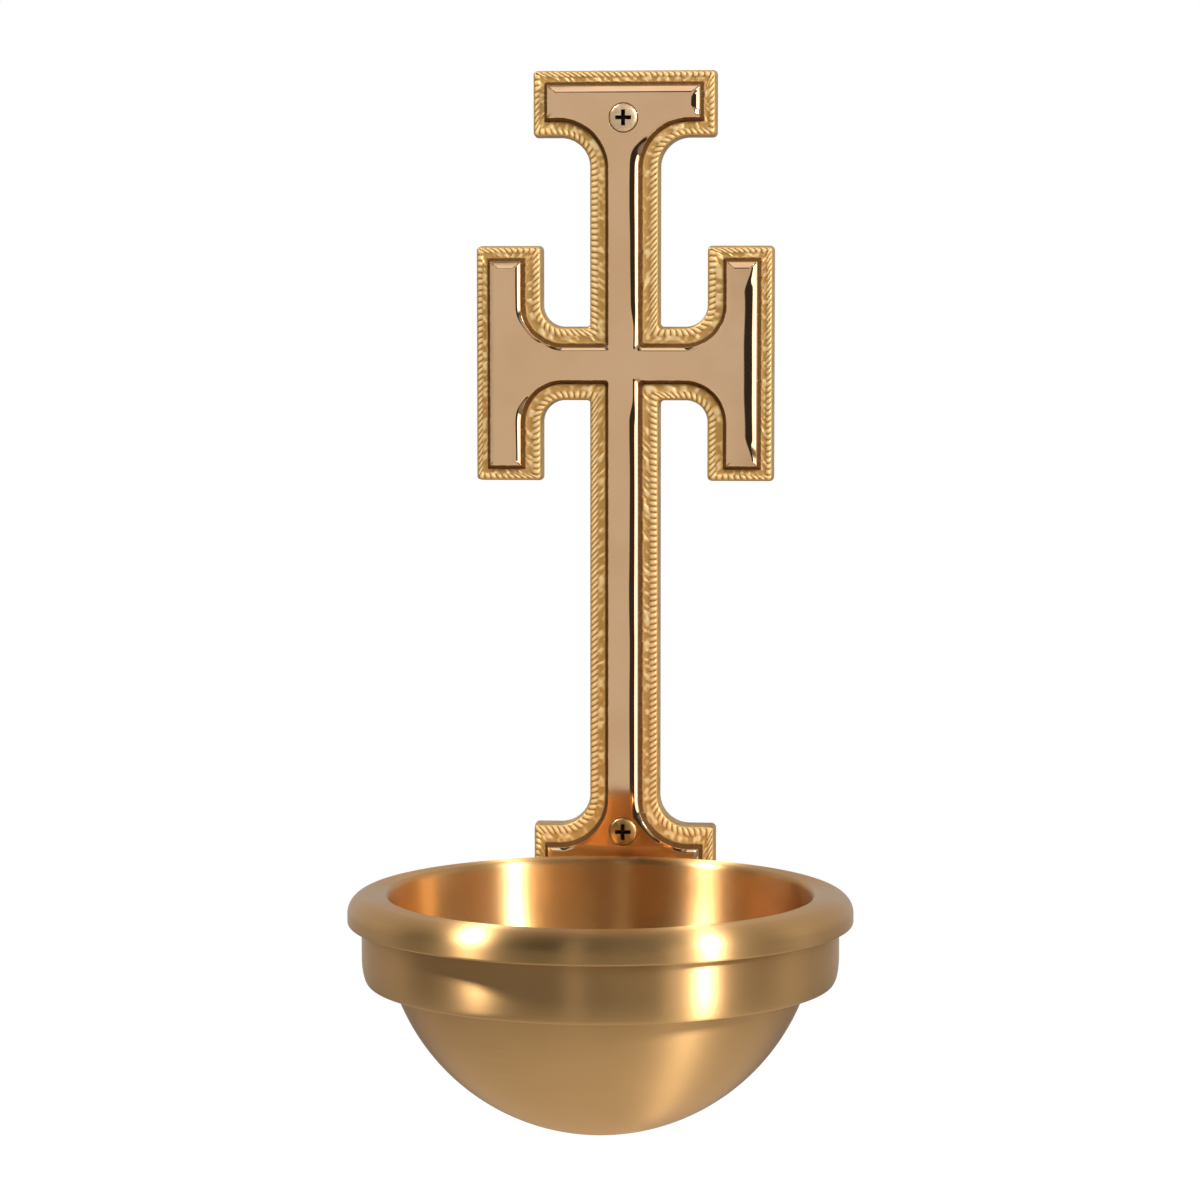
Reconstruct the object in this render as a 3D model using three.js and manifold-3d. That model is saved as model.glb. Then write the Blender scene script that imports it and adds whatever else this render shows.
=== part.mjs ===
// Wall-hung holy water stoup. A cast cross plate is screwed to the wall. A turned ring stands off the
// plate's foot on a saddle block, and a spun half-round bowl hangs in the ring by its rolled rim, so the
// bowl lifts straight out for filling and cleaning.
// Millimetres, +Z up, +Y into the wall. The origin is the centre of the crossing, on the plate's back face.

import * as THREE from 'three';
import { mergeVertices } from 'three/addons/utils/BufferGeometryUtils.js';
import Module from 'manifold-3d';

const wasm = await Module();
wasm.setup();

// Cross plate: outline, measured at the back face
const SHAFT_WIDTH = 20.4;
const SHAFT_RISE = 64.6; // crossing centre up to the underside of the head bar
const SHAFT_DROP = 133.3; // crossing centre down to the top edge of the foot
const ARM_HEIGHT = 21.2;
const HEAD_WIDTH = 52.9;
const HEAD_HEIGHT = 19.2;
const END_BAR_SPAN = 85.9; // across both end bars
const END_BAR_WIDTH = 19.3;
const END_BAR_HEIGHT = 67.6;
const FOOT_WIDTH = 52.9;
const FOOT_BELOW_SADDLE = 7.6; // foot's lower edge below the saddle block
const BAR_FILLET = 8.5; // head and foot into the shaft
const ARM_FILLET = 6.2; // end bars into the arms
const CROTCH_FILLET = 1.0; // arms into the shaft
const CORNER_RADIUS = 1.4; // outer corners of the bars
const SHARP_RADIUS = 0.3; // outer corners of the raised face, and the least straight beside a fillet

// Cross plate: section, from the wall forwards
const BORDER_THICKNESS = 6.0;
const BORDER_WIDTH = 3.25; // on the outer edges
const INNER_EXTRA = 1.3; // how much wider it is along the shaft, the arms and the inner sides of the end bars
const HEAD_EXTRA = 0.8; // the same under the head
const FOOT_EXTRA = 2.0; // the same along the top of the foot
const BORDER_EDGE_ROUND = 0.5;
const CASTING_DRAFT = 0.4; // how far the side leans in between the wall and the border
const FACE_RISE = 3.0; // raised face above the border
const FACE_WALL_RUN = 1.05;
const FACE_CROWN_WIDTH = 3.5; // rounded shoulder of the raised face
const FACE_CROWN_HEIGHT = 1.3;
const FACE_FLAT_LEAST = 1.0; // flat that the shoulders leave on the narrowest limb

// Bowl, ring and saddle
const BOWL_RADIUS = 58.7; // outside of the half-round
const BOWL_WALL = 1.5;
const BOWL_DROP = 14.3; // top edge of the foot down to the bowl's rim plane
const RIM_RISE = 6.6; // crest of the rolled rim above the rim plane
const RIM_BEND = 0.2; // underside radius of the bend from the wall into the rim's flat top
const RIM_FLAT = 3.8; // flat top between the bend and the rolled shoulder
const RIM_SHOULDER = 5.1; // height of the rolled shoulder, from the flat top down to the skirt
const RIM_SKIRT = 2.9; // straight skirt below the shoulder, with its rounded lip
const LIFT_CLEARANCE = 1.1; // between the rim and the wall screw's head as the bowl is lifted past it
const RING_CLEARANCE = 0.8; // bowl to ring
const RING_WALL = 4.9;
const RING_DEPTH = 17.3; // rim plane down to the ring's lower edge
const RING_BELLY_HEIGHT = 7.0; // lower part of the ring that draws in
const RING_BELLY_RUN = 1.8;
const LIP_CLEARANCE = 2.3; // ring to the inside of the skirt
const SADDLE_END = 6.0; // saddle beyond each ring screw's axis, sideways
const SADDLE_COVER = 2.1; // saddle above and below the ring screws
const SADDLE_HEADROOM = 2.6; // rim plane down to the saddle's top

// Screws: countersunk at 90 degrees, so a head is as deep as its radius is wider than the shank's
const WALL_SCREW_HEAD = 8.0;
const WALL_SCREW_SHANK = 4.2;
const WALL_SCREW_LENGTH = 32.0;
const WALL_SCREW_DOME = 0.9;
const WALL_SCREW_POINT = 6.0;
const WALL_SCREW_TIP = 0.8;
const UPPER_SCREW_DROP = 13.8; // below the head's top edge
const LOWER_SCREW_DROP = 1.7; // below the foot's top edge
const RING_SCREW_HEAD = 7.5;
const RING_SCREW_SHANK = 4.0;
const RING_SCREW_SPACING = 22.0;
const RING_SCREW_POINT = 0.8;
const RING_SCREW_TIP = 2.8;
const RING_SCREW_COVER = 0.9; // ring wall left between the screw's end and the bowl
const RING_SCREW_SINK = 0.3; // heads below the plate's back face
const RECESS_SPAN = 4.5; // cross-shaped driver recess
const RECESS_SLOT = 1.1;
const RECESS_DEPTH = 1.5;

const FIT_GAP = 0.3; // between pieces that touch
const OVERCUT = 1.0; // how far a cutter reaches past the surface it opens
const MERGE_DISTANCE = 1e-4; // points nearer than this are one point

// Fineness of round stretches
const CORNER_STEPS = 2;
const FILLET_STEPS = 6;
const CROWN_STEPS = 3;
const BOWL_STEPS = 9;
const RIM_STEPS = 5;
const LIP_STEPS = 3;
const ROUND_STEPS = 3;
const BELLY_STEPS = 5;
const TURNED_SEGMENTS = 56;
const SCREW_SEGMENTS = 20;

// Places that follow from the sizes above
const PLATE_THICKNESS = BORDER_THICKNESS + FACE_RISE;
const HEAD_TOP = SHAFT_RISE + HEAD_HEIGHT;
const BORDER_START_INSET = CASTING_DRAFT + BORDER_EDGE_ROUND;
const FACE_FOOT_INSET = CASTING_DRAFT + BORDER_WIDTH;
const FACE_EDGE_INSET = FACE_FOOT_INSET + FACE_WALL_RUN;
const NARROWEST_LIMB = Math.min(
  SHAFT_WIDTH - 2 * INNER_EXTRA,
  ARM_HEIGHT - 2 * INNER_EXTRA,
  HEAD_HEIGHT - HEAD_EXTRA,
  END_BAR_WIDTH - INNER_EXTRA,
);
const CROWN_WIDTH = Math.min(
  FACE_CROWN_WIDTH,
  (NARROWEST_LIMB - FACE_FLAT_LEAST) / 2 - FACE_EDGE_INSET,
);
const RING_INNER = BOWL_RADIUS + RING_CLEARANCE;
const RING_OUTER = RING_INNER + RING_WALL;
const BOWL_INSIDE = BOWL_RADIUS - BOWL_WALL;
const RIM_RADIUS = RING_OUTER + LIP_CLEARANCE + BOWL_WALL;
const BEND_OUTSIDE = RIM_BEND + BOWL_WALL;
const FLAT_START = BOWL_RADIUS + RIM_BEND; // radii where the rim's flat top starts and ends
const FLAT_END = FLAT_START + RIM_FLAT;
const SHOULDER_RUN = RIM_RADIUS - FLAT_END;
const SKIRT_TOP = RIM_RISE - RIM_SHOULDER;
const SKIRT_BOTTOM = SKIRT_TOP - RIM_SKIRT;
const BOWL_Y = -(PLATE_THICKNESS + WALL_SCREW_DOME + LIFT_CLEARANCE + RIM_RADIUS);
const BOWL_Z = -(SHAFT_DROP + BOWL_DROP);
const SADDLE_WIDTH = RING_SCREW_SPACING + 2 * SADDLE_END;
const SADDLE_HEIGHT = RING_SCREW_SHANK + 2 * SADDLE_COVER;
const SADDLE_TOP = BOWL_Z - SADDLE_HEADROOM;
const FOOT_BOTTOM = SADDLE_TOP - SADDLE_HEIGHT - FOOT_BELOW_SADDLE;
const RING_SCREW_Z = SADDLE_TOP - SADDLE_HEIGHT / 2;
const UPPER_SCREW_Z = HEAD_TOP - UPPER_SCREW_DROP;
const LOWER_SCREW_Z = -SHAFT_DROP - LOWER_SCREW_DROP;

// Solids for cutting
function solidOf(geometry) {
  const bare = geometry.clone();
  bare.deleteAttribute('normal');
  bare.deleteAttribute('uv');
  const merged = mergeVertices(bare, MERGE_DISTANCE);
  return new wasm.Manifold(
    new wasm.Mesh({
      numProp: 3,
      vertProperties: new Float32Array(merged.attributes.position.array),
      triVerts: new Uint32Array(merged.index.array),
    }),
  );
}

function geometryOf(solid) {
  const mesh = solid.getMesh();
  const geometry = new THREE.BufferGeometry();
  geometry.setAttribute('position', new THREE.BufferAttribute(mesh.vertProperties, 3));
  geometry.setIndex(new THREE.BufferAttribute(mesh.triVerts, 1));
  geometry.computeVertexNormals();
  return geometry;
}

function cutAway(geometry, cutters) {
  let solid = solidOf(geometry);
  for (const cutter of cutters) {
    solid = solid.subtract(solidOf(cutter));
  }
  return geometryOf(solid);
}

// A quarter of an ellipse as [across, up] pairs, from (across, 0) to (0, up)
function quarterEllipse(across, up, steps) {
  const points = [];
  for (let i = 0; i <= steps; i += 1) {
    const turn = (i / steps) * (Math.PI / 2);
    points.push([across * Math.cos(turn), up * Math.sin(turn)]);
  }
  return points;
}

// Square corners of the cross, as { x, z, radius, steps }, clockwise from the front, moved in by inset, and
// by more on the inner edges, where the border is wider.
// Fillets in the hollows widen with the inset as far as the bar has room for them.
function crossCorners(inset) {
  const acrossBorder = (inset - BORDER_START_INSET) / (FACE_FOOT_INSET - BORDER_START_INSET);
  const share = Math.min(Math.max(acrossBorder, 0), 1);
  const inner = inset + INNER_EXTRA * share;
  const shaft = SHAFT_WIDTH / 2 - inner;
  const arm = ARM_HEIGHT / 2 - inner;
  const headSide = HEAD_WIDTH / 2 - inset;
  const barInside = END_BAR_SPAN / 2 - END_BAR_WIDTH + inner;
  const barOutside = END_BAR_SPAN / 2 - inset;
  const barEnd = END_BAR_HEIGHT / 2 - inset;
  const footSide = FOOT_WIDTH / 2 - inset;
  const footTop = -SHAFT_DROP - inset - FOOT_EXTRA * share;
  const footBottom = FOOT_BOTTOM + inset;
  const headUnder = SHAFT_RISE + inset + HEAD_EXTRA * share;
  const corner = Math.max(CORNER_RADIUS - inset, SHARP_RADIUS);
  const beside = corner + SHARP_RADIUS;
  const headFillet = Math.min(BAR_FILLET + inner, headSide - shaft - beside);
  const footFillet = Math.min(BAR_FILLET + inner, footSide - shaft - beside);
  const armFillet = Math.min(
    ARM_FILLET + inner,
    barEnd - arm - beside,
    barInside - shaft - CROTCH_FILLET - SHARP_RADIUS,
  );

  const outer = (x, z) => ({ x, z, radius: corner, steps: CORNER_STEPS });
  const hollow = (x, z, radius) => ({ x, z, radius, steps: FILLET_STEPS });
  const crotch = (x, z) => ({ x, z, radius: CROTCH_FILLET, steps: CORNER_STEPS });
  const right = [
    outer(headSide, HEAD_TOP - inset),
    outer(headSide, headUnder),
    hollow(shaft, headUnder, headFillet),
    crotch(shaft, arm),
    hollow(barInside, arm, armFillet),
    outer(barInside, barEnd),
    outer(barOutside, barEnd),
    outer(barOutside, -barEnd),
    outer(barInside, -barEnd),
    hollow(barInside, -arm, armFillet),
    crotch(shaft, -arm),
    hollow(shaft, footTop, footFillet),
    outer(footSide, footTop),
    outer(footSide, footBottom),
  ];
  const left = right.map((point) => ({ ...point, x: -point.x })).reverse();
  return [...right, ...left];
}

// The cross's outline at one inset and one distance from the wall, with every corner rounded
function crossContour(inset, forward) {
  const corners = crossCorners(inset);
  const contour = [];
  corners.forEach(({ x, z, radius, steps }, i) => {
    const before = corners[(i + corners.length - 1) % corners.length];
    const after = corners[(i + 1) % corners.length];
    const corner = new THREE.Vector3(x, -forward, z);
    const back = new THREE.Vector3(before.x - x, 0, before.z - z).normalize();
    const ahead = new THREE.Vector3(after.x - x, 0, after.z - z).normalize();
    const centre = corner.clone().addScaledVector(back, radius).addScaledVector(ahead, radius);
    for (const [alongAhead, alongBack] of quarterEllipse(radius, radius, steps)) {
      contour.push(centre.clone().addScaledVector(ahead, -alongAhead).addScaledVector(back, -alongBack));
    }
  });
  return contour;
}

// A closed solid through contours of equal point count, listed from the wall forwards
function loft(contours) {
  const count = contours[0].length;
  const positions = contours.flat().flatMap((point) => point.toArray());
  const indices = [];
  for (let level = 0; level < contours.length - 1; level += 1) {
    for (let i = 0; i < count; i += 1) {
      const here = level * count + i;
      const next = level * count + ((i + 1) % count);
      indices.push(here, here + count, next, next, here + count, next + count);
    }
  }
  const capOf = (contour) => {
    const flat = contour.map((point) => new THREE.Vector2(point.x, point.z));
    return THREE.ShapeUtils.triangulateShape(flat, []);
  };
  const front = (contours.length - 1) * count;
  for (const [a, b, c] of capOf(contours[0])) {
    indices.push(a, c, b);
  }
  for (const [a, b, c] of capOf(contours.at(-1))) {
    indices.push(front + a, front + b, front + c);
  }
  const geometry = new THREE.BufferGeometry();
  geometry.setAttribute('position', new THREE.Float32BufferAttribute(positions, 3));
  geometry.setIndex(indices);
  return geometry;
}

// A turned solid about the Z axis from [radius, z] pairs that run up the inside and down the outside
function turned(profile) {
  const points = profile.map(([radius, z]) => new THREE.Vector2(radius, z)).reverse();
  return new THREE.LatheGeometry(points, TURNED_SEGMENTS).rotateX(Math.PI / 2);
}

// Screws lie along +Y, with the rim of the head at y = 0 and the point at y = length
function screwBody({ head, shank, length, dome, point, tip }) {
  const coneDepth = (head - shank) / 2;
  const crown = quarterEllipse(head / 2, dome, ROUND_STEPS).reverse();
  const profile = [
    ...crown.map(([across, up]) => [across, -up]),
    [shank / 2, coneDepth],
    [shank / 2, length - point],
    [tip / 2, length],
    [0, length],
  ];
  profile[0][0] = 0;
  const points = profile.map(([radius, y]) => new THREE.Vector2(radius, y));
  return new THREE.LatheGeometry(points, SCREW_SEGMENTS);
}

function countersunkScrew(size) {
  const depth = size.dome + RECESS_DEPTH + OVERCUT;
  const middle = RECESS_DEPTH - depth / 2;
  const slots = [
    new THREE.BoxGeometry(RECESS_SPAN, depth, RECESS_SLOT).translate(0, middle, 0),
    new THREE.BoxGeometry(RECESS_SLOT, depth, RECESS_SPAN).translate(0, middle, 0),
  ];
  return cutAway(screwBody(size), slots);
}

// The room for a countersunk screw, on the screw's own axes
function screwHole({ head, shank, length }) {
  const mouth = head / 2 + FIT_GAP;
  const bore = shank / 2 + FIT_GAP;
  const profile = [
    [0, -OVERCUT],
    [mouth, -OVERCUT],
    [mouth, 0],
    [bore, mouth - bore],
    [bore, length],
    [0, length],
  ];
  const points = profile.map(([radius, y]) => new THREE.Vector2(radius, y));
  return new THREE.LatheGeometry(points, SCREW_SEGMENTS);
}

const WALL_SCREW = {
  head: WALL_SCREW_HEAD,
  shank: WALL_SCREW_SHANK,
  length: WALL_SCREW_LENGTH,
  dome: WALL_SCREW_DOME,
  point: WALL_SCREW_POINT,
  tip: WALL_SCREW_TIP,
};

// Ring screws run from the plate's back face through the saddle, and end inside the ring's wall
const RING_SCREW_X = RING_SCREW_SPACING / 2;
const RING_INSIDE_Y = BOWL_Y + Math.sqrt(RING_INNER ** 2 - RING_SCREW_X ** 2);
const RING_SCREW = {
  head: RING_SCREW_HEAD,
  shank: RING_SCREW_SHANK,
  length: -RING_INSIDE_Y - RING_SCREW_COVER - RING_SCREW_SINK,
  dome: 0,
  point: RING_SCREW_POINT,
  tip: RING_SCREW_TIP,
};

// The room for one ring screw, in place; side is -1 or 1
function ringScrewHole(side) {
  const hole = screwHole({ ...RING_SCREW, length: -RING_INSIDE_Y + OVERCUT });
  return hole.rotateX(Math.PI).translate(side * RING_SCREW_X, -RING_SCREW_SINK, RING_SCREW_Z);
}

function wallScrewHole(z) {
  return screwHole(WALL_SCREW).translate(0, -PLATE_THICKNESS, z);
}

function crossPlate() {
  const shoulder = PLATE_THICKNESS - FACE_CROWN_HEIGHT;
  const crown = quarterEllipse(CROWN_WIDTH, FACE_CROWN_HEIGHT, CROWN_STEPS);
  const levels = [
    [0, 0],
    [CASTING_DRAFT, BORDER_THICKNESS - BORDER_EDGE_ROUND],
    [CASTING_DRAFT + BORDER_EDGE_ROUND, BORDER_THICKNESS],
    [FACE_FOOT_INSET, BORDER_THICKNESS],
    ...crown.map(([across, up]) => [FACE_EDGE_INSET + CROWN_WIDTH - across, shoulder + up]),
  ];
  const casting = loft(levels.map(([inset, forward]) => crossContour(inset, forward)));
  const holes = [
    wallScrewHole(UPPER_SCREW_Z),
    wallScrewHole(LOWER_SCREW_Z),
    ringScrewHole(-1),
    ringScrewHole(1),
  ];
  return cutAway(casting, holes);
}

// Half-round bowl with its rim bent outwards and rolled down over the ring, its rim plane at z = 0
function bowl() {
  const inside = quarterEllipse(BOWL_INSIDE, BOWL_INSIDE, BOWL_STEPS).reverse();
  const outside = quarterEllipse(BOWL_RADIUS, BOWL_RADIUS, BOWL_STEPS);
  const bend = quarterEllipse(BEND_OUTSIDE, BEND_OUTSIDE, LIP_STEPS);
  const over = quarterEllipse(SHOULDER_RUN, RIM_SHOULDER, RIM_STEPS).reverse();
  const under = quarterEllipse(SHOULDER_RUN - BOWL_WALL, RIM_SHOULDER - BOWL_WALL, RIM_STEPS);
  const lipRadius = BOWL_WALL / 2;
  const lip = quarterEllipse(lipRadius, lipRadius, LIP_STEPS);
  const lipCentre = RIM_RADIUS - lipRadius;
  const lipZ = SKIRT_BOTTOM + lipRadius;
  const profile = [
    ...inside.map(([across, down]) => [across, -down]),
    ...bend.map(([across, up]) => [FLAT_START - across, RIM_RISE - BEND_OUTSIDE + up]),
    ...over.map(([across, up]) => [FLAT_END + across, SKIRT_TOP + up]),
    ...lip.map(([across, down]) => [lipCentre + across, lipZ - down]),
    ...lip.slice(0, -1).reverse().map(([across, down]) => [lipCentre - across, lipZ - down]),
    ...under.map(([across, up]) => [FLAT_END + across, SKIRT_TOP + up]),
    [FLAT_START, RIM_RISE - BOWL_WALL],
    [BOWL_RADIUS, RIM_RISE - BEND_OUTSIDE],
    ...outside.map(([across, down]) => [across, -down]),
  ];
  profile[0][0] = 0;
  profile.at(-1)[0] = 0;
  return turned(profile);
}

// Height of the ring's top above the rim plane at a radius, just under the rim
function ringTop(radius) {
  const across = SHOULDER_RUN - BOWL_WALL - FIT_GAP;
  const up = RIM_SHOULDER - BOWL_WALL - FIT_GAP;
  const beyondFlat = Math.max(radius - FLAT_END, 0);
  return SKIRT_TOP + up * Math.sqrt(1 - (beyondFlat / across) ** 2);
}

// Ring with its rim plane at z = 0
function supportRing() {
  const belly = quarterEllipse(RING_BELLY_RUN, RING_BELLY_HEIGHT, BELLY_STEPS);
  const top = [];
  for (let i = 0; i <= RIM_STEPS; i += 1) {
    const radius = RING_INNER + (RING_WALL * i) / RIM_STEPS;
    top.push([radius, ringTop(radius)]);
  }
  const bottom = belly.map(([across, down]) => [
    RING_OUTER - RING_BELLY_RUN + across,
    -RING_DEPTH + RING_BELLY_HEIGHT - down,
  ]);
  const profile = [...top, ...bottom, [RING_INNER, -RING_DEPTH], top[0]];
  const holes = [-1, 1].map((side) => ringScrewHole(side).translate(0, -BOWL_Y, -BOWL_Z));
  return cutAway(turned(profile), holes);
}

// Saddle block: flat on the plate's foot, hollowed to the ring's curve
function ringSaddle() {
  const half = SADDLE_WIDTH / 2;
  const seat = -(PLATE_THICKNESS + FIT_GAP);
  const hollow = RING_OUTER + FIT_GAP;
  const side = Math.acos(half / hollow);
  const plan = new THREE.Shape();
  plan.moveTo(half, seat);
  plan.lineTo(-half, seat);
  plan.absarc(0, BOWL_Y, hollow, Math.PI - side, side, true);
  const block = new THREE.ExtrudeGeometry(plan, { depth: SADDLE_HEIGHT, bevelEnabled: false });
  block.translate(0, 0, SADDLE_TOP - SADDLE_HEIGHT);
  return cutAway(block, [ringScrewHole(-1), ringScrewHole(1)]);
}

function finish(color, roughness) {
  return new THREE.MeshStandardMaterial({ color, roughness, metalness: 1 });
}

function piece(name, geometry, material, x, y, z) {
  const mesh = new THREE.Mesh(geometry, material);
  mesh.name = name;
  mesh.position.set(x, y, z);
  return mesh;
}

const polishedBronze = finish('#d3a680', 0.15);
const satinBrass = finish('#c89a58', 0.38);
const plainBrass = finish('#c09a58', 0.45);
const screwBrass = finish('#cbb07c', 0.3);

const stoup = new THREE.Group();
stoup.name = 'holy_water_stoup';
stoup.add(piece('cross_plate', crossPlate(), polishedBronze, 0, 0, 0));
stoup.add(piece('support_ring', supportRing(), satinBrass, 0, BOWL_Y, BOWL_Z));
stoup.add(piece('ring_saddle', ringSaddle(), plainBrass, 0, 0, 0));
stoup.add(piece('bowl', bowl(), satinBrass, 0, BOWL_Y, BOWL_Z));
for (const [end, z] of [['upper', UPPER_SCREW_Z], ['lower', LOWER_SCREW_Z]]) {
  stoup.add(piece(`wall_screw_${end}`, countersunkScrew(WALL_SCREW), screwBrass, 0, -PLATE_THICKNESS, z));
}
for (const [name, side] of [['left', -1], ['right', 1]]) {
  const screw = countersunkScrew(RING_SCREW).rotateX(Math.PI);
  const x = side * RING_SCREW_X;
  stoup.add(piece(`ring_screw_${name}`, screw, screwBrass, x, -RING_SCREW_SINK, RING_SCREW_Z));
}

export default stoup;
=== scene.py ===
"""Looks of a wall-hung holy water stoup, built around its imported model.

A cast cross plate with a corded border and a polished raised face, a turned ring on a saddle block, a spun
bowl with a rolled rim that lifts out of the ring, and the screws. Sizes are in millimetres until a mesh is
made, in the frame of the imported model: +X right, +Y into the wall, +Z up.
"""

import math

import bpy
import numpy as np
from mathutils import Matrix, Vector
from mathutils.geometry import delaunay_2d_cdt


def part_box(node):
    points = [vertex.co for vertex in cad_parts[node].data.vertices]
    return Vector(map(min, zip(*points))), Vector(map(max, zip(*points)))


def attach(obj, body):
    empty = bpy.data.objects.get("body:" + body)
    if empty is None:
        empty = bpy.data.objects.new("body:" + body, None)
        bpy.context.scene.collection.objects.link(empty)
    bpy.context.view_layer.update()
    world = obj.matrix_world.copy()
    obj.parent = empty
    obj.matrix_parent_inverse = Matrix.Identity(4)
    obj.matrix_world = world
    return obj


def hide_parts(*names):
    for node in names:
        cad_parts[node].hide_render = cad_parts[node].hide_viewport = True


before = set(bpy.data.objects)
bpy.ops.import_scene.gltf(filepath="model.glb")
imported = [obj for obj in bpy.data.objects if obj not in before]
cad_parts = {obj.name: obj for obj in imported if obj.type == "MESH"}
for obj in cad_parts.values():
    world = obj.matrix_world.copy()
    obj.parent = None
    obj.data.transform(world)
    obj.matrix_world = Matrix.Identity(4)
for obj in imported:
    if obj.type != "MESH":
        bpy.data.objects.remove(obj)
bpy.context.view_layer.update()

MM = 0.001

# Cross plate: outline at the back face, as in the model
SHAFT_WIDTH = 20.4
SHAFT_RISE = 64.6
SHAFT_DROP = 133.3
ARM_HEIGHT = 21.2
HEAD_WIDTH = 52.9
HEAD_HEIGHT = 19.2
END_BAR_SPAN = 85.9
END_BAR_WIDTH = 19.3
END_BAR_HEIGHT = 67.6
FOOT_WIDTH = 52.9
BAR_FILLET = 8.5
ARM_FILLET = 6.2
CROTCH_FILLET = 1.0
CORNER_RADIUS = 1.4
SHARP_RADIUS = 0.3

# Cross plate: section, from the wall forwards
BORDER_THICKNESS = 6.0
CASTING_DRAFT = 0.4
BORDER_EDGE_ROUND = 0.5
BORDER_WIDTH = 3.25  # on the outer edges
INNER_EXTRA = 1.3  # how much wider it is along the shaft, the arms and the inner sides of the end bars
HEAD_EXTRA = 0.8  # the same under the head
FOOT_EXTRA = 2.0  # the same along the top of the foot
FACE_RISE = 3.0
FACE_WALL_RUN = 1.05
FACE_CROWN_WIDTH = 4.0  # the most that a shoulder of the raised face takes up

# Rounded shoulder of the raised face: its slope in degrees at the outer edge and after each of three
# stretches, and the widths of the stretches. Polishing has worn it wider on the right-hand and top edges.
SHOULDER_SLOPES = (28.0, 21.0, 3.0, 0.0)
NARROW_SHOULDER = (0.9, 0.35, 0.15)
TOP_SHOULDER = (1.7, 0.07, 0.07)
SHAFT_SHOULDER = (0.85, 1.35, 0.25)
END_SHOULDER = (1.05, 2.25, 0.2)
TIP_SHOULDER = (0.85, 1.5, 0.15)
SLOPE_LEAST = 0.06  # share of the slopes that the left-hand and bottom edges have
SHOULDER_WAVE = 0.16  # uneven share of the widths, except along the tops of head and bars
SHOULDER_WAVE_LENGTH = 15.0
SHOULDER_SEED = 11
SHOULDER_LINE = 0.5  # line through the noise that the waves follow
FILLET_NARROWING = 0.5  # share of the widths that the fillets lack
LEVEL_NARROWING = 0.27  # the same on the level edges of the arms and the foot
FLAT_MARGIN = 0.3  # flat beside the shoulder, which keeps the shading of the flat even
END_TAPER = 6.0  # run over which the wide shoulder narrows at a bar's corners
TIP_TAPER = 2.0  # the same at the tips of head and foot
SHAFT_TAPER = 8.0  # the same on the shaft, towards the arms

# How far an edge has to face right or up, from 0 to 1, for a rule to start and for it to hold in full
FACING_RIGHT = (0.5, 0.95)  # widths of a right-hand edge
FACING_UP = (0.8, 0.98)  # widths of a top edge
FULL_SLOPE = (0.4, 0.85)  # slopes of a right-hand edge
SLANTING = (0.2, 0.6)  # widths in a fillet, by the lesser of the two

# Corded border: a half-round cord of slanting strands, then a channel of small pebbled grains
CORD_CENTRE = 1.45  # inset of the cord's middle line
CORD_HALF_WIDTH = 0.85
CORD_HEIGHT = 0.6
CORD_PITCH = 1.7
CORD_LEAN = 0.8  # run along the border per step across it
CORD_VALLEY = 0.8  # share of the cord's height that the valleys cut away
CORD_BACK = 0.6  # power of the wave across the strands: below 1 their backs are broad and the valleys narrow
CHANNEL_SINK = 0.15
CHANNEL_START = 0.5  # where the channel starts, as a share of the cord's half width
CHANNEL_PAINTED_LIGHT = 0.3  # painted light on the channel between the grains, against 1 on top of them
GRAIN_SIZE = 0.9
GRAIN_HEIGHT = 0.3
GRAIN_GAIN = 1.5  # how soon a grain reaches its full height
GRAIN_SEED = 7
FOOT_SHADE = 0.6  # run over which the channel darkens towards the raised face: painted shade in the crease, and some patina
FOOT_FADE = 0.2  # run over which the relief dies away at the raised face
EDGE_PAINTED_SHADE = 0.6  # painted shade on the border's rounded outer edge
HOLE_PAINTED_SHADE = 0.5  # painted shade for the screw holes, whose finish does not use it
BACK_EDGE = 0.15  # height of the side's first row above the wall

# Bowl and ring
BOWL_RADIUS = 58.7
BOWL_WALL = 1.5
RIM_RISE = 6.6
RIM_BEND = 0.2
RIM_FLAT = 3.8
RIM_SHOULDER = 5.1
RIM_SKIRT = 2.9
RING_CLEARANCE = 0.8
RING_WALL = 4.9
RING_DEPTH = 17.3
RING_BELLY_HEIGHT = 7.0
RING_BELLY_RUN = 1.8
RING_EDGE_BREAK = 0.15
LIP_CLEARANCE = 2.3
FIT_GAP = 0.3

# Screws and saddle
WALL_SCREW_HEAD = 8.0
WALL_SCREW_SHANK = 4.2
WALL_SCREW_DOME = 0.9
WALL_SCREW_POINT = 6.0
WALL_SCREW_TIP = 0.8
WALL_SCREW_THREAD = (1.8, 0.5)  # pitch and depth
RING_SCREW_HEAD = 7.5
RING_SCREW_SHANK = 4.0
RING_SCREW_SINK = 0.3
RING_SCREW_POINT = 0.8
RING_SCREW_TIP = 2.8
RING_SCREW_THREAD = (0.7, 0.3)
HEAD_EDGE = 0.25  # straight rim of a screw head
PLAIN_SHANK = 1.5  # shank between a head and the thread
THREAD_STEP = 0.12
CREST_WIDTH = 0.3  # half of a thread's crest at its foot, as a share of the pitch
POINT_THREAD = 0.3  # share of the thread's depth that is left at the point
POINT_CORE = 0.25  # least radius at the point, as a share of the tip's diameter
RECESS_SPAN = 4.7
RECESS_SLOT = 1.15
RECESS_DEPTH = 1.6
RECESS_TAPER = 0.55  # size of the recess at its bottom, as a share of its size at the crown
RECESS_OVERCUT = 1.0  # how far the cutter reaches past the crown
MOUTH_GAP = 0.2  # between a screw head and the edge of its countersink
UPPER_MOUTH_GAP = 0.35  # the same round the upper wall screw
HOLE_EDGE = 0.996  # share of a hole's radius that parts the triangles inside it from those outside
SADDLE_BEVEL = 0.6

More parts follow.
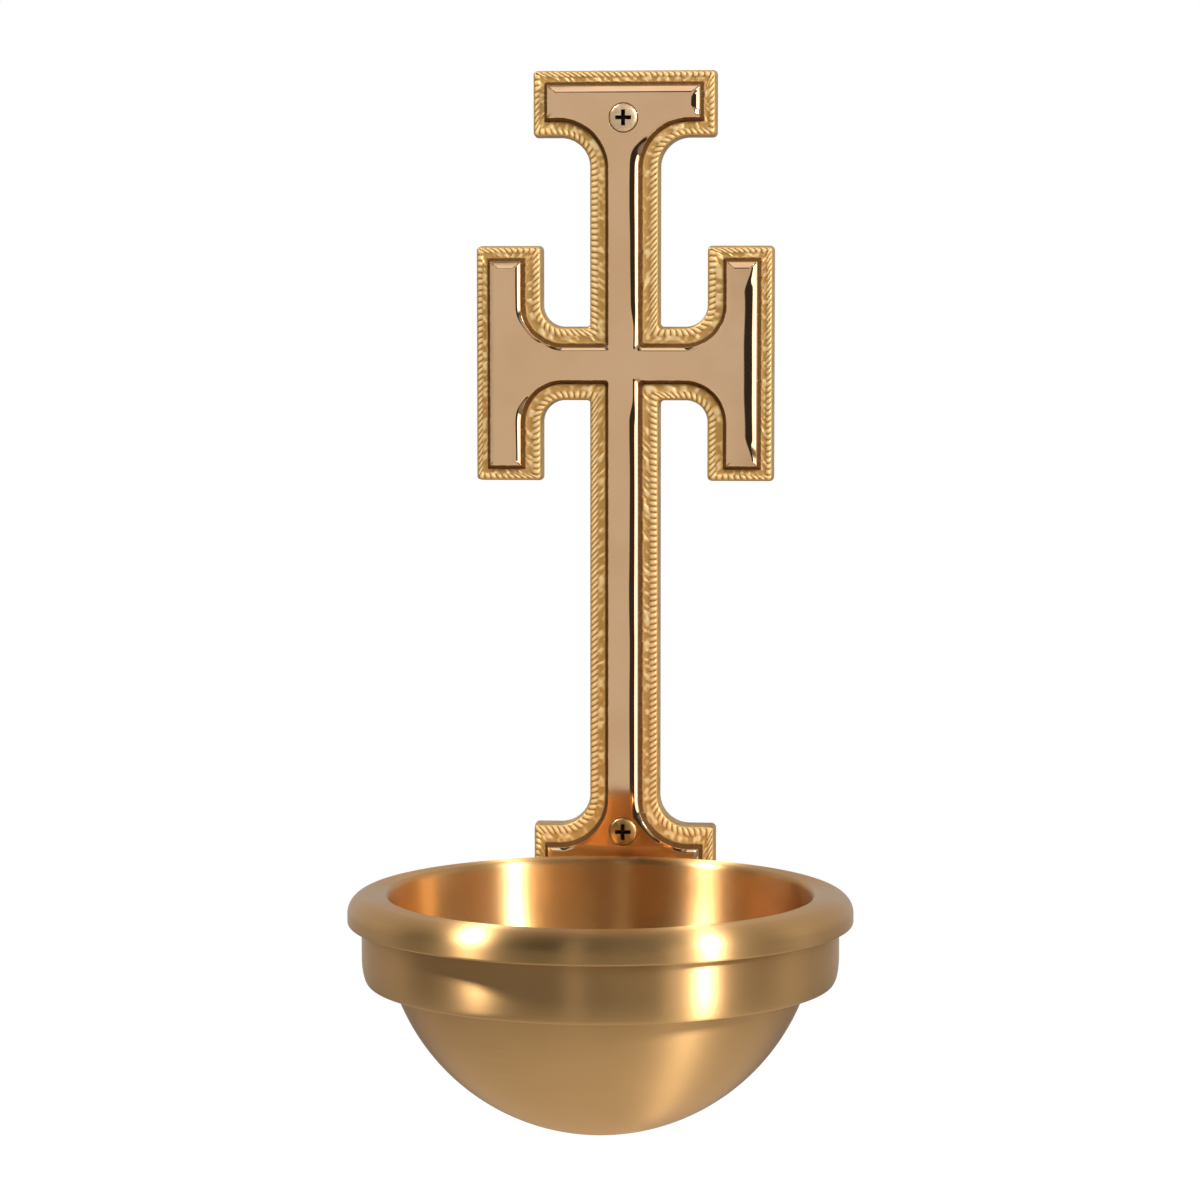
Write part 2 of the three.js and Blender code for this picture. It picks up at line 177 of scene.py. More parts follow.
# Fineness of the meshes
OUTLINE_STEP = 0.34
CORNER_STEPS = 6  # the fewest on an arc
STRAIGHT_STEPS = 2  # the fewest on a straight
SIDE_ROWS = (0.5, 1.0)  # shares of the side's height
EDGE_STEPS = 3
BORDER_ROWS = 11
WALL_ROWS = (0.45, 0.9)  # shares of the height of the raised face's wall
SHOULDER_ROWS = 13
TURNED_SEGMENTS = 256
BOWL_STEPS = 60
RIM_STEPS = 20
RIM_UNDER_STEPS = 14
RIM_BEND_STEPS = 8
LIP_STEPS = 5
BELLY_STEPS = 14
RING_TOP_POINTS = 14
SCREW_SEGMENTS = 48
DOME_STEPS = 8
SADDLE_POINTS = 33
SADDLE_BEVEL_STEPS = 3
NOISE_ROWS = 64
SHARP_ANGLE = 35.0  # faces that meet at more than this many degrees keep a sharp edge
CASTING_SHARP_ANGLE = 50.0
ON_AXIS = 1e-6  # a ring narrower than this is one point
MERGE_DISTANCE = 1e-5  # points nearer than this are one point in a flat cap
TRIANGLES_INSIDE = 1  # kind of triangulation that keeps to the inside of its outline

PLATE_THICKNESS = BORDER_THICKNESS + FACE_RISE
BORDER_START_INSET = CASTING_DRAFT + BORDER_EDGE_ROUND
FACE_FOOT_INSET = CASTING_DRAFT + BORDER_WIDTH
FACE_EDGE_INSET = FACE_FOOT_INSET + FACE_WALL_RUN
FACE_FLAT_INSET = FACE_EDGE_INSET + FACE_CROWN_WIDTH


def box_mm(node_name):
    """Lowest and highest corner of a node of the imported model, in millimetres."""
    low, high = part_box(node_name)
    return np.array(low) / MM, np.array(high) / MM


def centre_mm(node_name):
    """Middle of a node's box, in millimetres."""
    low, high = box_mm(node_name)
    return (low + high) / 2


HEAD_TOP = SHAFT_RISE + HEAD_HEIGHT
FOOT_BOTTOM = box_mm("cross_plate")[0][2]
BOWL_Y = centre_mm("bowl")[1]
BOWL_Z = box_mm("bowl")[1][2] - RIM_RISE
RING_INNER = BOWL_RADIUS + RING_CLEARANCE
RING_OUTER = RING_INNER + RING_WALL
RIM_RADIUS = RING_OUTER + LIP_CLEARANCE + BOWL_WALL
FLAT_START = BOWL_RADIUS + RIM_BEND
FLAT_END = FLAT_START + RIM_FLAT
SHOULDER_RUN = RIM_RADIUS - FLAT_END
SKIRT_TOP = RIM_RISE - RIM_SHOULDER
SKIRT_BOTTOM = SKIRT_TOP - RIM_SKIRT


# Meshes

def mesh_piece(name, verts, faces, materials, kinds=None, sharp_angle=SHARP_ANGLE, origin=(0, 0, 0)):
    """A smooth-shaded object from points in millimetres; kinds picks a material for each face."""
    mesh = bpy.data.meshes.new(name)
    mesh.from_pydata((np.asarray(verts, float) * MM).tolist(), [], [tuple(face) for face in faces])
    for material in materials:
        mesh.materials.append(material)
    if kinds is not None:
        mesh.polygons.foreach_set("material_index", np.asarray(kinds, np.int32))
    mesh.polygons.foreach_set("use_smooth", np.ones(len(mesh.polygons), bool))
    mesh.update()
    mesh.set_sharp_from_angle(angle=math.radians(sharp_angle))
    piece = bpy.data.objects.new(name, mesh)
    piece.location = Vector(origin) * MM
    bpy.context.scene.collection.objects.link(piece)
    return piece


def point_attribute(piece, name, values):
    """A number for each point of the piece, which its materials can read."""
    attribute = piece.data.attributes.new(name, "FLOAT", "POINT")
    attribute.data.foreach_set("value", np.asarray(values, np.float32))


def strip_faces(first, second, count):
    """Quads between two closed rows of points that start at these indices."""
    here = np.arange(count)
    after = (here + 1) % count
    return np.stack([first + here, second + here, second + after, first + after], axis=1).tolist()


def quarter_ellipse(across, up, steps):
    """Points from (across, 0) round to (0, up)."""
    turn = np.linspace(0, math.pi / 2, steps + 1)
    return np.stack([across * np.cos(turn), up * np.sin(turn)], axis=1)


def ring_points(radius, z, segments):
    """Points round the Z axis; radius is one number, or one for each point."""
    angle = np.linspace(0, 2 * math.pi, segments, endpoint=False)
    return np.stack([radius * np.cos(angle), radius * np.sin(angle), np.full(segments, z)], axis=1)


def turned(profile, segments):
    """Points and faces turned about the Z axis from (radius, z) pairs that run up the outside."""
    verts, rows, faces = [], [], []
    for radius, z in profile:
        rows.append((len(verts), radius > ON_AXIS))
        if radius > ON_AXIS:
            verts.extend(ring_points(radius, z, segments))
        else:
            verts.append(np.array([0.0, 0.0, z]))
    for (low, low_ring), (high, high_ring) in zip(rows, rows[1:]):
        for i in range(segments):
            after = (i + 1) % segments
            if low_ring and high_ring:
                faces.append((low + i, low + after, high + after, high + i))
            elif low_ring:
                faces.append((low + i, low + after, high))
            elif high_ring:
                faces.append((low, high + after, high + i))
    return verts, faces


# Cross casting

def cross_corners(inset):
    """Square corners of the cross as (x, z, radius), clockwise from the front, moved in by inset."""
    # The border's extra width comes in between its outer edge and the foot of the raised face
    share = min(max((inset - BORDER_START_INSET) / (FACE_FOOT_INSET - BORDER_START_INSET), 0.0), 1.0)
    inner = inset + INNER_EXTRA * share
    shaft = SHAFT_WIDTH / 2 - inner
    arm = ARM_HEIGHT / 2 - inner
    head_side = HEAD_WIDTH / 2 - inset
    foot_side = FOOT_WIDTH / 2 - inset
    bar_inside = END_BAR_SPAN / 2 - END_BAR_WIDTH + inner
    bar_outside = END_BAR_SPAN / 2 - inset
    bar_end = END_BAR_HEIGHT / 2 - inset
    head_under = SHAFT_RISE + inset + HEAD_EXTRA * share
    foot_top = -SHAFT_DROP - inset - FOOT_EXTRA * share
    foot_bottom = FOOT_BOTTOM + inset
    corner = max(CORNER_RADIUS - inset, SHARP_RADIUS)
    beside = corner + SHARP_RADIUS
    head_fillet = min(BAR_FILLET + inner, head_side - shaft - beside)
    foot_fillet = min(BAR_FILLET + inner, foot_side - shaft - beside)
    arm_fillet = min(
        ARM_FILLET + inner,
        bar_end - arm - beside,
        bar_inside - shaft - CROTCH_FILLET - SHARP_RADIUS,
    )
    right = [
        (head_side, HEAD_TOP - inset, corner),
        (head_side, head_under, corner),
        (shaft, head_under, head_fillet),
        (shaft, arm, CROTCH_FILLET),
        (bar_inside, arm, arm_fillet),
        (bar_inside, bar_end, corner),
        (bar_outside, bar_end, corner),
        (bar_outside, -bar_end, corner),
        (bar_inside, -bar_end, corner),
        (bar_inside, -arm, arm_fillet),
        (shaft, -arm, CROTCH_FILLET),
        (shaft, foot_top, foot_fillet),
        (foot_side, foot_top, corner),
        (foot_side, foot_bottom, corner),
    ]
    left = [(-x, z, radius) for x, z, radius in reversed(right)]
    return right + left


def corner_frames(inset):
    """For each corner: centre and radius of its arc, and the directions back and ahead along the outline."""
    corners = cross_corners(inset)
    points = np.array([(x, z) for x, z, _ in corners])
    radii = np.array([radius for _, _, radius in corners])
    back = np.roll(points, 1, axis=0) - points
    ahead = np.roll(points, -1, axis=0) - points
    back /= np.linalg.norm(back, axis=1)[:, None]
    ahead /= np.linalg.norm(ahead, axis=1)[:, None]
    centres = points + (back + ahead) * radii[:, None]
    return centres, radii, back, ahead


def outline_counts():
    """Steps on each corner's arc and on the straight after it, from the cord's middle line."""
    centres, radii, back, ahead = corner_frames(CORD_CENTRE)
    arcs = np.maximum(CORNER_STEPS, np.ceil(radii * math.pi / 2 / OUTLINE_STEP)).astype(int)
    ends = centres - back * radii[:, None]
    starts = np.roll(centres - ahead * radii[:, None], -1, axis=0)
    lengths = np.linalg.norm(starts - ends, axis=1)
    return arcs, np.maximum(STRAIGHT_STEPS, np.ceil(lengths / OUTLINE_STEP)).astype(int)


ARC_COUNTS, STRAIGHT_COUNTS = outline_counts()


def cross_outline(inset):
    """Fine points of the outline at an inset, as (x, z); the same count at every inset."""
    centres, radii, back, ahead = corner_frames(inset)
    points = []
    for i, (arc, straight) in enumerate(zip(ARC_COUNTS, STRAIGHT_COUNTS)):
        sweep = quarter_ellipse(radii[i], radii[i], arc)
        points.extend(centres[i] - sweep[:, :1] * ahead[i] - sweep[:, 1:] * back[i])
        j = (i + 1) % len(radii)
        start = centres[i] - back[i] * radii[i]
        stop = centres[j] - ahead[j] * radii[j]
        share = np.linspace(0, 1, straight + 1)[1:-1, None]
        points.extend(start + (stop - start) * share)
    return np.array(points)


def smooth_noise(u, v, period, seed):
    """Smooth noise from -1 to 1 over cells of size 1, repeating in u after a whole number of cells."""
    lattice = np.random.default_rng(seed).uniform(-1, 1, (period, NOISE_ROWS))
    iu, iv = np.floor(u).astype(int), np.floor(v).astype(int)
    fu, fv = u - iu, v - iv
    fu, fv = fu * fu * (3 - 2 * fu), fv * fv * (3 - 2 * fv)
    a = lattice[iu % period, iv % NOISE_ROWS]
    b = lattice[(iu + 1) % period, iv % NOISE_ROWS]
    c = lattice[iu % period, (iv + 1) % NOISE_ROWS]
    d = lattice[(iu + 1) % period, (iv + 1) % NOISE_ROWS]
    return (a * (1 - fu) + b * fu) * (1 - fv) + (c * (1 - fu) + d * fu) * fv


def smooth_step(value, low, high):
    """0 up to low, 1 from high on, and a smooth rise between them."""
    share = np.clip((value - low) / (high - low), 0, 1)
    return share * share * (3 - 2 * share)


def border_relief(along, inset, length):
    """Height of the border above its plane, and its painted shade from 0 to 1: dark in valleys, light on
    crests.
    """
    strands = round(length / CORD_PITCH)
    across = (inset - CORD_CENTRE) / CORD_HALF_WIDTH
    dome = math.sqrt(max(0.0, 1 - across * across))
    turn = along * strands / length - (inset - CORD_CENTRE) * CORD_LEAN / CORD_PITCH
    ridge = np.abs(np.sin(math.pi * turn)) ** CORD_BACK
    cells = round(length / GRAIN_SIZE)
    grain = smooth_noise(along * cells / length, np.full_like(along, inset / GRAIN_SIZE), cells, GRAIN_SEED)
    channel = smooth_step(inset, CORD_CENTRE + CHANNEL_START * CORD_HALF_WIDTH, CORD_CENTRE + CORD_HALF_WIDTH)
    pebble = np.clip(GRAIN_GAIN * grain, 0, 1) * channel
    cord = dome * (1 - CORD_VALLEY * (1 - ridge))
    height = CORD_HEIGHT * cord + GRAIN_HEIGHT * pebble - CHANNEL_SINK
    # Painted light on the strands' crests and the grains' tops, and painted shade in the valleys and the
    # channel
    light = np.maximum(dome * ridge ** 2, CHANNEL_PAINTED_LIGHT * channel + (1 - CHANNEL_PAINTED_LIGHT) * pebble)
    painted_shade = 1 - light
    return height, np.clip(painted_shade, 0, 1)


def shoulder_rows(along, length):
    """Outlines of the raised face's shoulder and their depths below its flat, row by row from its edge."""
    edge = cross_outline(FACE_EDGE_INSET)
    x, z = edge[:, 0], edge[:, 1]
    step = np.roll(edge, -1, axis=0) - np.roll(edge, 1, axis=0)
    upward, rightward = step.T * ((1,), (-1,)) / np.linalg.norm(step, axis=1)
    facing_right = smooth_step(rightward, *FACING_RIGHT)
    facing_up = smooth_step(upward, *FACING_UP)
    at_top = z > ARM_HEIGHT

    # Full slopes on right-hand edges and on level edges that face up, and hardly any elsewhere
    level = (upward > 0) * SLOPE_LEAST / np.maximum(np.abs(rightward), SLOPE_LEAST)
    upright = smooth_step(rightward + np.minimum(upward, 0) / 2, *FULL_SLOPE)
    ease = np.maximum(np.maximum(upright, level), SLOPE_LEAST)

    # Where the wide shoulders lie, and how wide each point's shoulder is
    bar_end = END_BAR_HEIGHT / 2 - FACE_EDGE_INSET
    head_low, head_high = SHAFT_RISE + HEAD_EXTRA + FACE_EDGE_INSET, HEAD_TOP - FACE_EDGE_INSET
    foot_high = -SHAFT_DROP - FOOT_EXTRA - FACE_EDGE_INSET
    on_bar = (x > END_BAR_SPAN / 2 - END_BAR_WIDTH / 2) * smooth_step(bar_end - np.abs(z), 0, END_TAPER)
    in_tip = np.maximum(np.minimum(z - head_low, head_high - z), foot_high - z)
    on_tip = (x > SHAFT_WIDTH) * smooth_step(in_tip, 0, TIP_TAPER)
    on_shaft = (x > 0) * (x < SHAFT_WIDTH) * smooth_step(np.abs(z) - ARM_HEIGHT / 2, 0, SHAFT_TAPER)
    waves = round(length / SHOULDER_WAVE_LENGTH)
    noise = smooth_noise(along * waves / length, np.full_like(along, SHOULDER_LINE), waves, SHOULDER_SEED)
    wave = 1 + SHOULDER_WAVE * (1 - facing_up * at_top) * noise
    widths = np.tile(np.array(NARROW_SHOULDER)[:, None], len(edge))
    for share, wide in (
        (on_bar * facing_right, END_SHOULDER),
        (on_tip * facing_right, TIP_SHOULDER),
        (on_shaft * facing_right, SHAFT_SHOULDER),
        (facing_up * at_top, TOP_SHOULDER),
    ):
        widths = widths + (np.array(wide) - np.array(NARROW_SHOULDER))[:, None] * share
    slanting = smooth_step(np.minimum(np.abs(rightward), np.abs(upward)), *SLANTING)
    widths = widths * (1 - FILLET_NARROWING * slanting)
    widths = widths * (1 - LEVEL_NARROWING * facing_up * ~at_top)
    stops = np.concatenate([np.zeros((1, len(edge))), np.cumsum(widths * wave, axis=0)])

    # No wider than the crown, and clear of the wall screws
    room = np.full(len(edge), FACE_CROWN_WIDTH)
    for screw_name in ("wall_screw_upper", "wall_screw_lower"):
        screw_x, _, screw_z = centre_mm(screw_name)
        beside = np.hypot(x - screw_x, z - screw_z) - WALL_SCREW_HEAD / 2 - UPPER_MOUTH_GAP
        room = np.minimum(room, beside - 2 * FLAT_MARGIN)
    stops *= np.minimum(1, room / stops[-1])

    # The slopes added up from the flat outwards
    across = np.concatenate([np.linspace(0, stops[-1], SHOULDER_ROWS), stops[-1:] + FLAT_MARGIN])
    slopes = np.stack([np.interp(a, stop, SHOULDER_SLOPES) for a, stop in zip(across.T, stops.T)], axis=1)
    fall = np.tan(np.radians(slopes * ease))
    steps = (fall[1:] + fall[:-1]) / 2 * np.diff(across, axis=0)
    drops = np.cumsum(steps[::-1], axis=0)[::-1]
    inward = (cross_outline(FACE_FLAT_INSET) - edge) / FACE_CROWN_WIDTH
    outlines = edge + inward * across[:, :, None]
    return outlines, np.concatenate([drops, np.zeros((1, len(edge)))])


def casting_rows(along, length):
    """The casting from the wall forwards: rows of outline, heights, painted shade, and finish."""
    flat = np.ones(len(along))
    back = cross_outline(0.0)
    rows = [(back, 0 * flat, flat, "side"), (back, BACK_EDGE * flat, flat, "side")]
    edge = BORDER_THICKNESS - BORDER_EDGE_ROUND
    for share in SIDE_ROWS:
        rows.append((cross_outline(CASTING_DRAFT * share), edge * share * flat, flat, "side"))
    for across, up in quarter_ellipse(BORDER_EDGE_ROUND, BORDER_EDGE_ROUND, EDGE_STEPS)[1:-1]:
        rounded = cross_outline(BORDER_START_INSET - across)
        rows.append((rounded, (edge + up) * flat, EDGE_PAINTED_SHADE * flat, "border"))
    for inset in np.linspace(BORDER_START_INSET, FACE_FOOT_INSET, BORDER_ROWS):
        relief, painted_shade = border_relief(along, inset, length)
        fade = min(1.0, (FACE_FOOT_INSET - inset) / FOOT_FADE)
        # Painted shade, with some patina, darkening the channel towards the foot of the raised face
        painted_foot_shade = smooth_step(inset, FACE_FOOT_INSET - FOOT_SHADE, FACE_FOOT_INSET)
        height = BORDER_THICKNESS + relief * fade
        rows.append((cross_outline(inset), height, np.maximum(painted_shade, painted_foot_shade), "border"))
    outlines, drops = shoulder_rows(along, length)
    shoulder = PLATE_THICKNESS - drops[0]
    # The raised face's wall takes the border's finish at full painted shade, a dark line at its foot
    for share in WALL_ROWS:
        height = BORDER_THICKNESS + (shoulder - BORDER_THICKNESS) * share
        rows.append((cross_outline(FACE_FOOT_INSET + FACE_WALL_RUN * share), height, flat, "wall"))
    for outline, drop in zip(outlines, drops):
        rows.append((outline, PLATE_THICKNESS - drop, 0 * flat, "face"))
    return rows


def cap_faces(loops, starts):
    """Triangles that fill the first loop but not the round others; starts are the loops' first indices."""
    points, edges, owner = [], [], []
    for loop, start in zip(loops, starts):
        base = len(points)
        count = len(loop)
        points.extend(Vector(p) for p in loop)
        edges.extend((base + i, base + (i + 1) % count) for i in range(count))
        owner.extend(range(start, start + count))
    verts, _, faces, origins, _, _ = delaunay_2d_cdt(points, edges, [], TRIANGLES_INSIDE, MERGE_DISTANCE)
    index = [owner[origin[0]] for origin in origins]
    centres = np.array([np.mean([verts[i] for i in face], axis=0) for face in faces])
    filled = np.ones(len(faces), bool)
    for loop in loops[1:]:
        middle = loop.mean(axis=0)
        radius = np.linalg.norm(loop[0] - middle)
        filled &= np.linalg.norm(centres - middle, axis=1) > HOLE_EDGE * radius
    return [tuple(index[i] for i in face) for face, keep in zip(faces, filled) if keep]


# Place of each finish among the casting's materials
MATERIAL_INDEX = {"side": 0, "border": 1, "wall": 1, "face": 2}


def cross_casting(materials):
    """The cross plate with its border, raised face and screw holes; materials for side, border and face."""
    middle = cross_outline(CORD_CENTRE)
    steps = np.linalg.norm(np.roll(middle, -1, axis=0) - middle, axis=1)
    along = np.concatenate([[0], np.cumsum(steps)[:-1]])
    count = len(middle)

    verts, faces, kinds, painted_shades, row_starts = [], [], [], [], []
    rows = casting_rows(along, steps.sum())
    for points, heights, painted_shade, _ in rows:
        row_starts.append(len(verts))
        verts.extend(np.stack([points[:, 0], -heights, points[:, 1]], axis=1))
        painted_shades.extend(painted_shade)
    for low, high, row in zip(row_starts, row_starts[1:], rows[1:]):
        faces.extend(strip_faces(low, high, count))
        kinds.extend([MATERIAL_INDEX[row[3]]] * count)

    front_loops, front_starts = [rows[-1][0]], [row_starts[-1]]
    back_loops, back_starts = [rows[0][0]], [row_starts[0]]

    def add_ring(x, z, radius, forward):
        start = len(verts)
        ring = ring_points(radius, 0.0, SCREW_SEGMENTS)[:, :2] + (x, z)
        verts.extend(np.stack([ring[:, 0], np.full(len(ring), -forward), ring[:, 1]], axis=1))
        painted_shades.extend(np.full(len(ring), HOLE_PAINTED_SHADE))
        return start, ring

    def add_hole(screw_name, rings):
        """A stepped round hole through (radius, forward) rings, from the front back or from the back in."""
        x, _, z = centre_mm(screw_name)
        made = [add_ring(x, z, radius, forward) for radius, forward in rings]
        for (here, _), (there, _) in zip(made, made[1:]):
            faces.extend(strip_faces(here, there, SCREW_SEGMENTS))
            kinds.extend([MATERIAL_INDEX["side"]] * SCREW_SEGMENTS)
        return made

    for screw_name, gap in (("wall_screw_upper", UPPER_MOUTH_GAP), ("wall_screw_lower", MOUTH_GAP)):
        mouth = WALL_SCREW_HEAD / 2 + gap
        bore = WALL_SCREW_SHANK / 2 + FIT_GAP
        seat = PLATE_THICKNESS - (mouth - bore)
        rings = [(mouth, PLATE_THICKNESS), (bore, seat), (bore, 0.0)]
        made = add_hole(screw_name, rings)
        front_loops.append(made[0][1])
        front_starts.append(made[0][0])
        back_loops.append(made[-1][1])
        back_starts.append(made[-1][0])
    for screw_name in ("ring_screw_left", "ring_screw_right"):
        mouth = RING_SCREW_HEAD / 2 + MOUTH_GAP
        bore = RING_SCREW_SHANK / 2 + FIT_GAP
        rings = [(mouth, 0.0), (mouth, RING_SCREW_SINK), (bore, RING_SCREW_SINK + mouth - bore)]
        made = add_hole(screw_name, rings)
        back_loops.append(made[0][1])
        back_starts.append(made[0][0])

    for face in cap_faces(front_loops, front_starts):
        faces.append(face)
        kinds.append(MATERIAL_INDEX["face"])
    for face in cap_faces(back_loops, back_starts):
        faces.append(face[::-1])
        kinds.append(MATERIAL_INDEX["side"])
    piece = mesh_piece("cross_casting", verts, faces, materials, kinds, CASTING_SHARP_ANGLE)
    point_attribute(piece, "painted_shade", painted_shades)
    return piece


# Bowl and ring

def bowl_profile():
    """Closed section of the spun bowl, up the outside, over the rolled rim and down the inside."""
    inner = BOWL_RADIUS - BOWL_WALL
    bend = RIM_BEND + BOWL_WALL
    lip = BOWL_WALL / 2
    outside = quarter_ellipse(BOWL_RADIUS, BOWL_RADIUS, BOWL_STEPS)[::-1] * (1, -1)
    under = quarter_ellipse(SHOULDER_RUN - BOWL_WALL, RIM_SHOULDER - BOWL_WALL, RIM_UNDER_STEPS)[::-1]
    lip_arc = quarter_ellipse(lip, lip, LIP_STEPS)
    lip_centre = (RIM_RADIUS - lip, SKIRT_BOTTOM + lip)
    over = quarter_ellipse(SHOULDER_RUN, RIM_SHOULDER, RIM_STEPS)
    bend_arc = quarter_ellipse(bend, bend, RIM_BEND_STEPS)[::-1] * (-1, 1)
    inside = quarter_ellipse(inner, inner, BOWL_STEPS) * (1, -1)
    profile = np.concatenate([
        outside,
        [(BOWL_RADIUS, RIM_RISE - bend), (FLAT_START, RIM_RISE - BOWL_WALL)],
        under + (FLAT_END, SKIRT_TOP),
        lip_arc * (-1, -1) + lip_centre,
        (lip_arc[::-1] * (1, -1) + lip_centre)[1:],
        over + (FLAT_END, SKIRT_TOP),
        bend_arc + (FLAT_START, RIM_RISE - bend),
        inside,
    ])
    profile[0][0] = 0.0
    profile[-1][0] = 0.0
    return profile


def ring_profile():
    """Closed section of the support ring, up the outside and down the inside."""
    belly = quarter_ellipse(RING_BELLY_RUN, RING_BELLY_HEIGHT, BELLY_STEPS)[::-1] * (1, -1)
    belly += (RING_OUTER - RING_BELLY_RUN, -RING_DEPTH + RING_BELLY_HEIGHT)
    radii = np.linspace(RING_OUTER, RING_INNER, RING_TOP_POINTS)
    share = np.maximum(radii - FLAT_END, 0) / (SHOULDER_RUN - BOWL_WALL - FIT_GAP)
    rise = (RIM_SHOULDER - BOWL_WALL - FIT_GAP) * np.sqrt(1 - share ** 2)
    top = np.stack([radii, SKIRT_TOP + rise], axis=1)
    low = np.array([
        (RING_INNER, -RING_DEPTH + RING_EDGE_BREAK),
        (RING_INNER + RING_EDGE_BREAK, -RING_DEPTH),
    ])
    return np.concatenate([belly, top, low, belly[:1]])


def bowl_finishes(section):
    """The finish of each row of the bowl's faces: 0 on the rim, 1 below the ring, 2 inside."""
    radius, height = section[1:].T
    second_half = np.arange(1, len(section)) > len(section) / 2
    inside = second_half & (radius < BOWL_RADIUS - BOWL_WALL / 2)
    below = ~second_half & (height < -RING_DEPTH / 2)
    return below + 2 * inside


def turned_piece(name, profile, materials, finishes=None):
    """A piece turned round the bowl's axis; finishes picks a material for each row of faces."""
    verts, faces = turned(profile, TURNED_SEGMENTS)
    kinds = None if finishes is None else np.repeat(finishes, TURNED_SEGMENTS)
    return mesh_piece(name, verts, faces, materials, kinds, origin=(0, BOWL_Y, BOWL_Z))


# Screws and saddle

def screw_rows(head, shank, length, dome, point, tip, thread):
    """Rings of a screw as (radius at each angle, place along the axis), from the crown to the point."""
    pitch, depth = thread
    turn = np.linspace(0, 1, SCREW_SEGMENTS, endpoint=False)
    plain = np.ones(SCREW_SEGMENTS)
    crown = quarter_ellipse(head / 2, dome, DOME_STEPS)[::-1][1:]
    rows = [(plain * across, -up) for across, up in crown]
    cone = HEAD_EDGE + (head - shank) / 2
    start = cone + PLAIN_SHANK
    rows += [(plain * head / 2, HEAD_EDGE), (plain * shank / 2, cone), (plain * shank / 2, start)]
    for t in np.arange(start + THREAD_STEP, length, THREAD_STEP):
        taper = min(1.0, (length - t) / point)
        outer = (tip + (shank - tip) * taper) / 2
        wind = (t / pitch - turn) % 1.0
        crest = np.clip(1 - np.abs(wind - 0.5) / CREST_WIDTH, 0, 1)
        cut = depth * min(1.0, (t - start) / pitch) * min(1.0, taper + POINT_THREAD)
        rows.append((np.maximum(outer - cut * (1 - crest), tip * POINT_CORE), t))
    return rows


def recess_cutter(dome):
    """A tapered cross, with its bottom inside the head."""
    half, slot = RECESS_SPAN / 2, RECESS_SLOT / 2
    plan = [(half, -slot), (half, slot), (slot, slot), (slot, half), (-slot, half), (-slot, slot)]
    plan = np.array(plan + [(-x, -y) for x, y in plan])
    levels = [(1.0, -dome - RECESS_OVERCUT), (1.0, -dome), (RECESS_TAPER, RECESS_DEPTH)]
    verts = [(*(p * size), t) for size, t in levels for p in plan]
    count = len(plan)
    faces = [tuple(range(count))[::-1], tuple(range(2 * count, 3 * count))]
    for level in range(2):
        for i in range(count):
            after = (i + 1) % count
            here, there = level * count, (level + 1) * count
            faces.append((here + i, here + after, there + after, there + i))
    return verts, faces


def screw(node_name, into_wall, sizes, materials):
    """A countersunk cross-recess screw that stands for a node; materials for the brass and the recess's
    painted shade.
    """
    low, high = box_mm(node_name)
    length = high[1] - low[1] - sizes["dome"]
    rows = screw_rows(length=length, **sizes)
    verts, faces = [np.array((0.0, 0.0, -sizes["dome"]))], []
    for radii, t in rows:
        verts.extend(ring_points(radii, t, SCREW_SEGMENTS))
    verts.append(np.array((0.0, 0.0, length)))
    last = 1 + (len(rows) - 1) * SCREW_SEGMENTS
    for i in range(SCREW_SEGMENTS):
        after = (i + 1) % SCREW_SEGMENTS
        faces.append((0, 1 + after, 1 + i))
        faces.append((len(verts) - 1, last + i, last + after))
    for row in range(len(rows) - 1):
        here = 1 + row * SCREW_SEGMENTS
        faces.extend(strip_faces(here + SCREW_SEGMENTS, here, SCREW_SEGMENTS))
    x, _, z = centre_mm(node_name)
    start = low[1] + sizes["dome"] if into_wall else high[1] - sizes["dome"]
    piece = mesh_piece(f"{node_name}_brass", verts, faces, materials[:1], origin=(x, start, z))
    cut_verts, cut_faces = recess_cutter(sizes["dome"])
    cutter = mesh_piece("recess_cutter", cut_verts, cut_faces, materials[1:], origin=(x, start, z))
    for part in (piece, cutter):
        part.rotation_euler = (-math.pi / 2 if into_wall else math.pi / 2, 0, 0)
    cut = piece.modifiers.new("recess", "BOOLEAN")
    cut.object = cutter
    cut.solver = "EXACT"
    cut.material_mode = "TRANSFER"
    bpy.context.view_layer.update()
    evaluated = piece.evaluated_get(bpy.context.evaluated_depsgraph_get())
    shaped = bpy.data.meshes.new_from_object(evaluated)
    piece.modifiers.clear()
    piece.data = shaped
    shaped.set_sharp_from_angle(angle=math.radians(SHARP_ANGLE))
    bpy.data.objects.remove(cutter)
    return piece


def saddle(material):
    """The block between plate and ring, with its edges broken."""
    low, high = box_mm("ring_saddle")
    seat = RING_OUTER + FIT_GAP
    side = math.acos(high[0] / seat)
    arc = np.linspace(math.pi - side, side, SADDLE_POINTS)
    plan = [(high[0], high[1]), (low[0], high[1])]
    plan += [(seat * math.cos(a), BOWL_Y + seat * math.sin(a)) for a in arc]
    count = len(plan)
    verts = [(x, y, low[2]) for x, y in plan] + [(x, y, high[2]) for x, y in plan]
    faces = [tuple(range(count)), tuple(range(count, 2 * count))[::-1]]
    faces += [(i, i + count, (i + 1) % count + count, (i + 1) % count) for i in range(count)]
    piece = mesh_piece("saddle_block", verts, faces, [material])
    bevel = piece.modifiers.new("broken_edges", "BEVEL")
    bevel.width = SADDLE_BEVEL * MM
    bevel.segments = SADDLE_BEVEL_STEPS
    bevel.limit_method = "ANGLE"
    return piece


# Camera
CAMERA_PLACE = (0.08914, -1.03729, 0.01662)
CAMERA_DOWN = 4.674  # degrees below level
CAMERA_LEFT = 5.322  # degrees to the left of straight into the wall
CAMERA_LENS = 108.0
CAMERA_SENSOR = 36.0
CAMERA_REACH = 60.0

